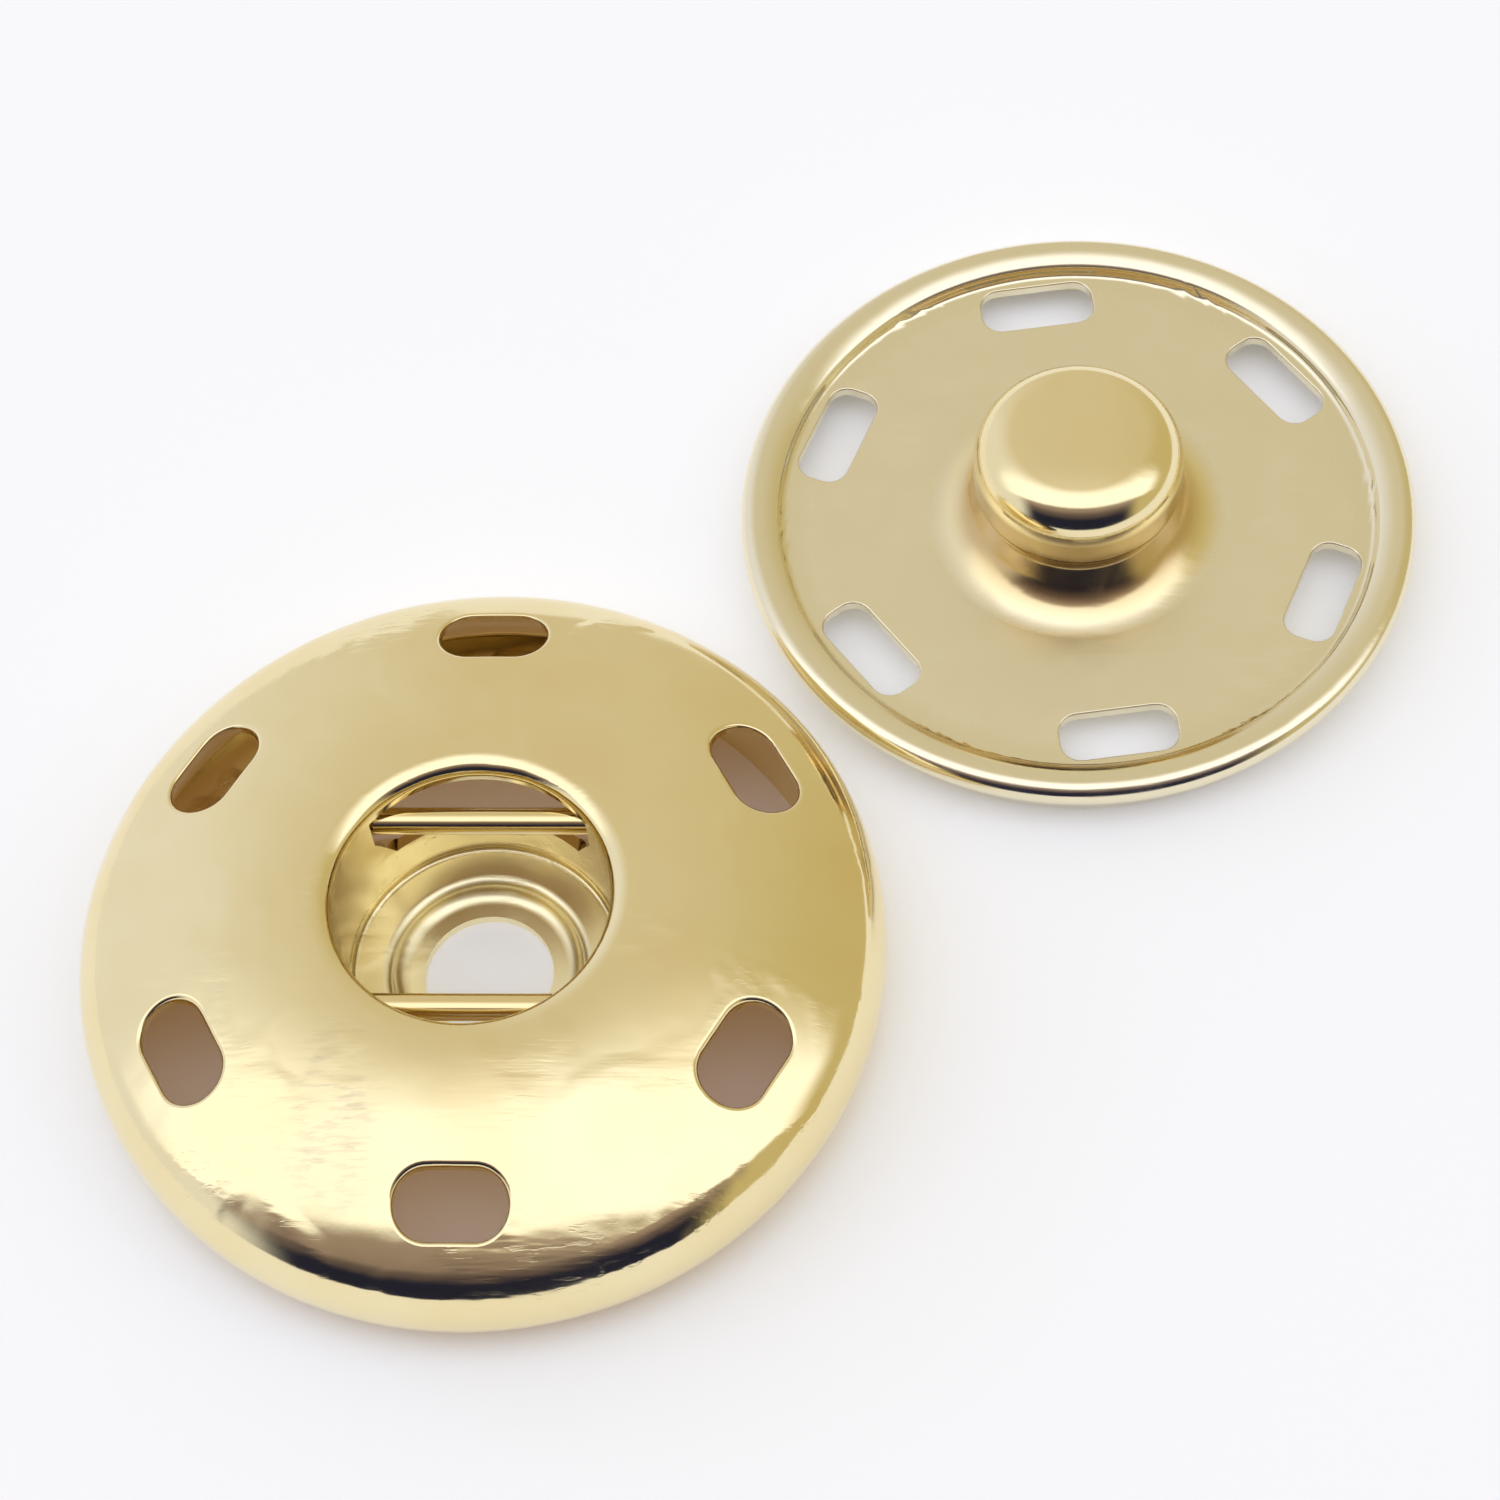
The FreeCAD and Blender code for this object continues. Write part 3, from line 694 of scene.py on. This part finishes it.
def spring_route():
    """Points along the middle of the wire on the plan: one half from its hooked end, then its mirror."""
    hook_x = -(LEG_REACH + HOOK_BEND)
    bend_y = LEG_OFFSET - HOOK_BEND
    tail_y = bend_y - HOOK_TAIL
    points = [(hook_x, y) for y in np.linspace(tail_y, bend_y, TAIL_POINTS, endpoint=False)]
    for way in np.radians(np.linspace(180, 90, HOOK_POINTS, endpoint=False)):
        points.append((HOOK_BEND * math.cos(way) - LEG_REACH, HOOK_BEND * math.sin(way) + bend_y))
    points += [(x, LEG_OFFSET) for x in np.linspace(-LEG_REACH, LEG_REACH, LEG_POINTS, endpoint=False)]
    for way in np.radians(np.linspace(90, 0, CURVE_POINTS, endpoint=False)):
        points.append((LEG_OFFSET * math.cos(way) + LEG_REACH, LEG_OFFSET * math.sin(way)))
    points.append((LEG_REACH + LEG_OFFSET, 0.0))
    points += [(x, -y) for x, y in points[-2::-1]]
    return np.array(points)


def make_spring():
    """The bent wire as a tube, with rounded ends."""
    route = spring_route()
    run = np.gradient(route, axis=0)
    run /= np.linalg.norm(run, axis=1)[:, None]
    around = np.radians(np.linspace(0, 360, WIRE_SIDES + 1))
    rings = []
    shades = []

    def ring(point, way, radius, lean):
        side = np.array([way[1], -way[0], 0.0])
        up = np.array([0.0, 0.0, 1.0])
        out = np.cos(around)[:, None] * side + np.sin(around)[:, None] * up
        rings.append(np.array([point[0], point[1], WIRE_HEIGHT]) + radius * out)
        ahead = np.array([way[0], way[1], 0.0])
        shades.append(math.cos(lean) * out + math.sin(lean) * ahead)

    def end(point, way, sign, steps):
        for step in steps:
            turn = math.radians(90 * step / WIRE_END_RINGS)
            shift = WIRE_END_ROUNDING * (math.sin(turn) - 1)
            radius = WIRE_RADIUS - WIRE_END_ROUNDING * (1 - math.cos(turn))
            ring(point + sign * way * shift, way, radius, sign * turn)

    ring(route[0], run[0], TINY, -math.pi / 2)
    end(route[0], run[0], -1, range(WIRE_END_RINGS, -1, -1))
    for point, way in zip(route[1:-1], run[1:-1]):
        ring(point, way, WIRE_RADIUS, 0.0)
    end(route[-1], run[-1], 1, range(WIRE_END_RINGS + 1))
    ring(route[-1], run[-1], TINY, math.pi / 2)
    skin = Skin()
    skin.grid(np.array(rings), np.array(shades), flip=True)
    return skin.build("socket_spring_finish", SOCKET_AT, 0.0)


# Shares of x, y and z in a distance that is measured on the plan
ON_PLAN = (1.0, 1.0, 0.0)


class Nodes:
    """A few short ways of wiring a material or a world."""

    def __init__(self, owner, shader):
        self.owner = owner
        owner.use_nodes = True
        self.tree = owner.node_tree
        self.shader = self.tree.nodes[shader]

    def add(self, kind, **settings):
        node = self.tree.nodes.new(kind)
        for key, value in settings.items():
            setattr(node, key, value)
        return node

    def link(self, source, target):
        self.tree.links.new(source, target)

    def math(self, operation, first, second=None):
        """A sum on one or two values, each a number or an output."""
        node = self.add("ShaderNodeMath", operation=operation)
        for index, value in enumerate((first, second)):
            if value is None:
                continue
            if isinstance(value, (int, float)):
                node.inputs[index].default_value = value
            else:
                self.link(value, node.inputs[index])
        return node.outputs[0]

    def place(self, centre):
        """Object coordinates in millimetres, from a centre on the floor."""
        scale = self.add("ShaderNodeMapping")
        scale.inputs["Scale"].default_value = (1 / MM, 1 / MM, 1 / MM)
        scale.inputs["Location"].default_value = (-centre[0], -centre[1], 0.0)
        self.link(self.add("ShaderNodeTexCoord").outputs["Object"], scale.inputs["Vector"])
        return scale.outputs[0]

    def noise(self, where, scale, detail, distortion=0.0):
        """Cloudy noise, 0 to 1."""
        node = self.add("ShaderNodeTexNoise")
        node.inputs["Scale"].default_value = scale
        node.inputs["Detail"].default_value = detail
        node.inputs["Distortion"].default_value = distortion
        self.link(where, node.inputs["Vector"])
        return node.outputs["Fac"]

    def drag(self, where, way, scale):
        """Noise drawn out along one direction on the plan."""
        turn = self.add("ShaderNodeMapping")
        turn.inputs["Rotation"].default_value = (0.0, 0.0, math.radians(-way))
        turn.inputs["Scale"].default_value = (DRAG_SQUEEZE, 1.0, 1.0)
        self.link(where, turn.inputs["Vector"])
        return self.noise(turn.outputs[0], scale, *DRAG_NOISE)

    def crossed(self, where, strokes):
        """Thin strokes along two directions, added."""
        sets = []
        for way, scale, level in strokes:
            sets.append(self.ramp(self.drag(where, way, scale), level, level + STROKE_SOFTNESS))
        return self.math("ADD", *sets)

    def reach(self, vector, shares):
        """The length of a vector whose three parts are first multiplied by shares."""
        scaled = self.add("ShaderNodeVectorMath", operation="MULTIPLY")
        scaled.inputs[1].default_value = shares
        self.link(vector, scaled.inputs[0])
        length = self.add("ShaderNodeVectorMath", operation="LENGTH")
        self.link(scaled.outputs[0], length.inputs[0])
        return length.outputs["Value"]

    def band(self, value, low, high, soft):
        """1 between two values and 0 outside, with soft ends."""
        return self.math("MULTIPLY", self.ramp(value, low - soft, low + soft, smooth=True),
                         self.ramp(value, high - soft, high + soft, 1.0, 0.0, smooth=True))

    def ramp(self, value, low, high, start=0.0, end=1.0, smooth=False):
        """Start below low, end above high and a straight or smooth change between them."""
        node = self.add("ShaderNodeMapRange")
        if smooth:
            node.interpolation_type = "SMOOTHSTEP"
        for key, number in (("From Min", low), ("From Max", high), ("To Min", start), ("To Max", end)):
            node.inputs[key].default_value = number
        self.link(value, node.inputs["Value"])
        return node.outputs[0]

    def mix(self, factor, first, second):
        """A blend of two colours, each a number triple or an output."""
        node = self.add("ShaderNodeMix", data_type="RGBA")
        if isinstance(factor, (int, float)):
            node.inputs["Factor"].default_value = factor
        else:
            self.link(factor, node.inputs["Factor"])
        for key, value in (("A", first), ("B", second)):
            socket = [item for item in node.inputs if item.name == key and item.type == "RGBA"][0]
            if isinstance(value, tuple):
                socket.default_value = (*value, 1.0)
            else:
                self.link(value, socket)
        return [item for item in node.outputs if item.type == "RGBA"][0]


# Tints of the plating, and tints that paint shade on the well's walls, round the stud's neck and on its
# head's side, and light on the well's floor
GOLD = (0.90, 0.785, 0.475)
WARM_GOLD = (0.87, 0.72, 0.39)
# Painted light: a lighter tint for the floor of the socket's well.
WELL_FLOOR_LIGHT_TINT = (0.98, 0.89, 0.58)
# Painted shade: a deeper, darker tint for the walls of the socket's well.
WELL_SHADE_TINT = (0.88, 0.75, 0.41)
# Painted shade: a brown tint for the recess round the stud's neck.
NECK_SHADE_TINT = (0.66, 0.49, 0.24)
# Painted shade: a darker tint for the side of the stud's head.
HEAD_SIDE_SHADE_TINT = (0.52, 0.38, 0.16)
PALE_GOLD = (0.865, 0.79, 0.575)
DULL_GOLD = (0.70, 0.60, 0.38)

# A zone is a ring of another tint and roughness round a piece's axis. The tints of the well, neck and head
# side zones are painted shade, and the well floor's is painted light. A limit under 0 keeps its soft edge
# off the axis or the floor.
Zone = namedtuple("Zone", "radii heights soft tint rough")
UNDER_ZERO = -1.0
# Painted shade on the well's walls, and painted light on the well's floor below them.
WELL_WALL_PAINTED_SHADE = Zone((UNDER_ZERO, 4.35), (UNDER_ZERO, 5.2), 0.15, WELL_SHADE_TINT, 0.19)
WELL_FLOOR_PAINTED_LIGHT = Zone((UNDER_ZERO, 4.1), (UNDER_ZERO, 1.0), 0.15, WELL_FLOOR_LIGHT_TINT, 0.3)
WHOLE_SPRING = Zone((0.0, 20.0), (0.0, 9.0), 0.1, WARM_GOLD, 0.12)
PLATE_AND_BEAD = Zone((4.7, 12.0), (UNDER_ZERO, 9.0), 0.5, PALE_GOLD, 0.14)
PLATE_FLAT = Zone((4.5, 9.2), (UNDER_ZERO, 1.7), 0.5, PALE_GOLD, 0.28)
# Painted shade in the recess round the neck and on the side of the head.
NECK_PAINTED_SHADE = Zone((UNDER_ZERO, 4.3), (1.6, 3.4), 0.25, NECK_SHADE_TINT, 0.2)
HEAD_SIDE_PAINTED_SHADE = Zone((3.1, 3.7), (3.35, 4.4), 0.2, HEAD_SIDE_SHADE_TINT, 0.12)
SOCKET_ZONES = (WELL_WALL_PAINTED_SHADE, WELL_FLOOR_PAINTED_LIGHT)
SPRING_ZONES = (WHOLE_SPRING,)
STUD_ZONES = (PLATE_AND_BEAD, PLATE_FLAT, NECK_PAINTED_SHADE, HEAD_SIDE_PAINTED_SHADE)

# Roughness of the polished sheets and wire, and how much handling shows on each
SOCKET_POLISH = 0.08
SPRING_POLISH = 0.12
STUD_POLISH = 0.10
SOCKET_HANDLING = 1.0
SPRING_HANDLING = 0.0
STUD_HANDLING = 0.4

# Texture of the plating. A noise is its scale per millimetre, its detail and, where it has one, its
# distortion. A drag is drawn-out noise: its direction in degrees and its scale. A range is the span of the
# noise that counts. Heights are millimetres.
DRAG_NOISE = (3.0, 0.3)
DRAG_SQUEEZE = 0.12
Stroke = namedtuple("Stroke", "way scale level")
STROKE_SOFTNESS = 0.05
DRIFT_NOISE = (0.28, 2.0)
DRIFT_RANGE = (0.35, 0.75)
DRIFT_SHARE = 0.7
PATCH_NOISE = (0.22, 2.0, 0.5)
PATCH_RANGE = (0.46, 0.62)
HANDLING_STROKES = (Stroke(75.0, 5.0, 0.60), Stroke(20.0, 4.0, 0.62))
HANDLING_ROUGHNESS = 0.10
SMUDGE_NOISE = (0.5, 5.0, 0.8)
SMUDGE_RANGE = (0.45, 0.72)
SMUDGE_ROUGHNESS = 0.07
WAVE_NOISE = (0.45, 2.0)
WAVE_HEIGHT = 0.012
PULL_DRAG = (70.0, 0.9)
PULL_HEIGHT = 0.04
MARK_HEIGHT = -0.0012
GRAIN_NOISE = (9.0, 3.0)
GRAIN_HEIGHT = 0.0004

# The scratched patch in front of the socket's mouth, from the socket's axis
SCUFF_AT = (-3.6, -7.4)
SCUFF_SHARES = (1.25, 0.8, 0.0)
SCUFF_RANGE = (1.9, 3.9)
SCUFF_NOISE = (1.1, 4.0)
SCUFF_RAGGEDNESS = 2.4
SCUFF_STROKES = (Stroke(95.0, 5.0, 0.55), Stroke(-8.0, 6.0, 0.56))
SCUFF_STROKE_DULLNESS = 0.5
SCUFF_DULLNESS = 0.15
SCUFF_ROUGHNESS = 0.10


def zoned_plating(nodes, where, polish, zones):
    """Tint and roughness of the plating, with slow drift and the piece's zones. Some zones paint shade and
    light into the tint.
    """
    radius = nodes.reach(where, ON_PLAN)
    split = nodes.add("ShaderNodeSeparateXYZ")
    nodes.link(where, split.inputs[0])
    drift = nodes.ramp(nodes.noise(where, *DRIFT_NOISE), *DRIFT_RANGE, 0.0, DRIFT_SHARE)
    tint = nodes.mix(drift, GOLD, WARM_GOLD)
    rough = polish
    for zone in zones:
        mask = nodes.math("MULTIPLY", nodes.band(radius, *zone.radii, zone.soft),
                          nodes.band(split.outputs[2], *zone.heights, zone.soft))
        tint = nodes.mix(mask, tint, zone.tint)
        change = nodes.math("MULTIPLY", nodes.math("SUBTRACT", zone.rough, rough), mask)
        rough = nodes.math("ADD", rough, change)
    return tint, rough


def scratched_plating(nodes, where, centre, scuff, tint, rough):
    """Tint and roughness with a ragged, scratched patch round a place."""
    spot = nodes.place((centre[0] + scuff[0], centre[1] + scuff[1]))
    rag = nodes.math("MULTIPLY", nodes.noise(where, *SCUFF_NOISE), SCUFF_RAGGEDNESS)
    ragged = nodes.math("ADD", nodes.reach(spot, SCUFF_SHARES), rag)
    patch = nodes.ramp(ragged, *SCUFF_RANGE, 1.0, 0.0, smooth=True)
    lines = nodes.math("MULTIPLY", nodes.crossed(where, SCUFF_STROKES), SCUFF_STROKE_DULLNESS)
    dull = nodes.math("MULTIPLY", nodes.math("ADD", lines, SCUFF_DULLNESS), patch)
    rough = nodes.math("ADD", rough, nodes.math("MULTIPLY", patch, SCUFF_ROUGHNESS))
    return nodes.mix(dull, tint, DULL_GOLD), rough


def plating_relief(nodes, where, patches, strokes, handling):
    """The normal of the plating: slow waves, dragged pulls, fine marks and grain."""
    waves = nodes.math("MULTIPLY", nodes.noise(where, *WAVE_NOISE), WAVE_HEIGHT)
    pulls = nodes.math("MULTIPLY", nodes.drag(where, *PULL_DRAG), patches)
    pulls = nodes.math("MULTIPLY", pulls, PULL_HEIGHT * handling)
    marks = nodes.math("MULTIPLY", strokes, MARK_HEIGHT * handling)
    grain = nodes.math("MULTIPLY", nodes.noise(where, *GRAIN_NOISE), GRAIN_HEIGHT)
    height = nodes.math("ADD", nodes.math("ADD", waves, pulls), nodes.math("ADD", marks, grain))
    bump = nodes.add("ShaderNodeBump")
    bump.inputs["Distance"].default_value = MM
    bump.inputs["Strength"].default_value = 1.0
    nodes.link(height, bump.inputs["Height"])
    return bump.outputs[0]


def gold_plating(name, centre, polish, handling, zones, scuff=None):
    """Gold plating with colour drift, smudges and light handling strokes.

    centre is where the piece's axis stands. scuff is the middle of a scratched patch, from that axis.
    """
    nodes = Nodes(bpy.data.materials.new(name), "Principled BSDF")
    where = nodes.place(centre)
    shader = nodes.shader
    shader.inputs["Metallic"].default_value = 1.0
    tint, rough = zoned_plating(nodes, where, polish, zones)
    if scuff:
        tint, rough = scratched_plating(nodes, where, centre, scuff, tint, rough)
    nodes.link(tint, shader.inputs["Base Color"])

    patches = nodes.ramp(nodes.noise(where, *PATCH_NOISE), *PATCH_RANGE, smooth=True)
    strokes = nodes.math("MULTIPLY", nodes.crossed(where, HANDLING_STROKES), patches)
    smudge = nodes.ramp(nodes.noise(where, *SMUDGE_NOISE), *SMUDGE_RANGE, 0.0, SMUDGE_ROUGHNESS)
    rough = nodes.math("ADD", nodes.math("MULTIPLY", strokes, HANDLING_ROUGHNESS * handling), rough)
    nodes.link(nodes.math("ADD", smudge, rough), shader.inputs["Roughness"])
    nodes.link(plating_relief(nodes, where, patches, strokes, handling), shader.inputs["Normal"])
    return nodes.owner


def wear(piece, material):
    """Gives a piece one material."""
    piece.data.materials.clear()
    piece.data.materials.append(material)


def look(direction, up):
    """A turn that points -Z along a direction with Y towards up."""
    back = -Vector(direction).normalized()
    side = Vector(up).cross(back).normalized()
    return Matrix((side, back.cross(side), back)).transposed().to_4x4()


def make_camera():
    """The camera at the photograph's angle."""
    azimuth = math.radians(CAMERA_AZIMUTH)
    elevation = math.radians(CAMERA_ELEVATION)
    ahead = Vector((-math.sin(azimuth) * math.cos(elevation), math.cos(azimuth) * math.cos(elevation),
                    -math.sin(elevation)))
    data = bpy.data.cameras.new("camera")
    data.lens = CAMERA_LENS
    data.sensor_width = CAMERA_SENSOR
    data.clip_start = CAMERA_NEAREST * MM
    data.clip_end = CAMERA_FARTHEST * MM
    camera = bpy.data.objects.new("camera", data)
    target = Vector(CAMERA_TARGET) * MM
    level = look(ahead, (0, 0, 1))
    roll = Matrix.Rotation(math.radians(CAMERA_ROLL), 4, "Z")
    camera.matrix_world = Matrix.Translation(target - ahead * CAMERA_DISTANCE * MM) @ level @ roll
    bpy.context.scene.collection.objects.link(camera)
    bpy.context.scene.camera = camera


def make_floor():
    """A pale floor, with the warm light that gold throws on it under the dome."""
    mesh = bpy.data.meshes.new("floor")
    half = FLOOR_REACH * MM
    corners = [(-half, -half, 0), (half, -half, 0), (half, half, 0), (-half, half, 0)]
    mesh.from_pydata(corners, [], [(0, 1, 2, 3)])
    floor = bpy.data.objects.new("floor", mesh)
    bpy.context.scene.collection.objects.link(floor)
    nodes = Nodes(bpy.data.materials.new("floor_paper"), "Principled BSDF")
    nodes.shader.inputs["Base Color"].default_value = FLOOR_COLOUR
    nodes.shader.inputs["Roughness"].default_value = FLOOR_ROUGHNESS
    nodes.shader.inputs["Specular IOR Level"].default_value = 0.0
    radius = nodes.reach(nodes.place(SOCKET_AT), ON_PLAN)
    shaded = nodes.band(radius, *SHADE_RADII, SHADE_SOFTNESS)
    glow = nodes.ramp(shaded, 0.0, 1.0, FLOOR_GLOW, SHADED_GLOW)
    nodes.link(glow, nodes.shader.inputs["Emission Strength"])
    tint = nodes.mix(shaded, FLOOR_GLOW_TINT, SHADED_GLOW_TINT)
    nodes.link(tint, nodes.shader.inputs["Emission Color"])
    floor.data.materials.append(nodes.owner)


def make_world():
    """A plain studio: a wide soft ceiling light, a warm room behind and a dark side in front."""
    nodes = Nodes(bpy.data.worlds.new("studio"), "Background")
    bpy.context.scene.world = nodes.owner
    split = nodes.add("ShaderNodeSeparateXYZ")
    nodes.link(nodes.add("ShaderNodeTexCoord").outputs["Generated"], split.inputs[0])
    sideways, away, up = split.outputs
    towards = nodes.math("DEGREES", nodes.math("ARCTAN2", nodes.math("MULTIPLY", away, -1.0), up))
    aside = nodes.math("DEGREES", nodes.math("ARCSINE", sideways))
    apart = nodes.math("ABSOLUTE", aside)

    room = nodes.mix(nodes.ramp(aside, -ROOM_SIDES, 0.0, smooth=True), ROOM_LEFT, ROOM_BACK)
    room = nodes.mix(nodes.ramp(aside, 0.0, ROOM_SIDES, smooth=True), room, ROOM_RIGHT)
    onset = nodes.math("POWER", nodes.ramp(towards, *SOFTBOX_BACK, smooth=True), SOFTBOX_ONSET_POWER)
    stop = nodes.ramp(towards, *SOFTBOX_FRONT, 1.0, 0.0, smooth=True)
    wide = nodes.ramp(apart, *SOFTBOX_SIDES, 1.0, 0.0, smooth=True)
    box = nodes.math("MULTIPLY", nodes.math("MULTIPLY", onset, stop), wide)
    light = nodes.mix(box, room, SOFTBOX)

    gloom = nodes.mix(nodes.ramp(towards, *GLOOM_DARKER, smooth=True), GLOOM_HIGH, GLOOM_MIDDLE)
    gloom = nodes.mix(nodes.ramp(towards, *GLOOM_DARKEST, smooth=True), gloom, GLOOM_LOW)
    shade = nodes.math("MULTIPLY", nodes.ramp(towards, *GLOOM_START, smooth=True),
                       nodes.ramp(apart, *GLOOM_SIDES, 1.0, 0.0, smooth=True))
    shade = nodes.math("MULTIPLY", shade, nodes.ramp(towards, *GLOOM_END, 1.0, 0.0))
    nodes.link(nodes.mix(shade, light, gloom), nodes.shader.inputs["Color"])
    nodes.shader.inputs["Strength"].default_value = 1.0


def main():
    """Everything in the scene: camera, pieces, floor and light."""
    make_camera()
    dome = gold_plating("socket_gold", SOCKET_AT, SOCKET_POLISH, SOCKET_HANDLING, SOCKET_ZONES, SCUFF_AT)
    wire = gold_plating("spring_gold", SOCKET_AT, SPRING_POLISH, SPRING_HANDLING, SPRING_ZONES)
    plate = gold_plating("stud_gold", STUD_AT, STUD_POLISH, STUD_HANDLING, STUD_ZONES)
    made = ((make_socket_shell(), "socket_shell", "socket_sheet", dome),
            (make_spring(), "socket_spring", "spring_wire", wire),
            (make_stud_plate(), "stud_plate", "stud_sheet", plate))
    for piece, node, slot, material in made:
        wear(piece, material)
        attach(piece, "root")
        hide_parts(node)
        wear(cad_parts[node], material)
    make_floor()
    make_world()
    bpy.context.scene.view_settings.view_transform = "Standard"


main()
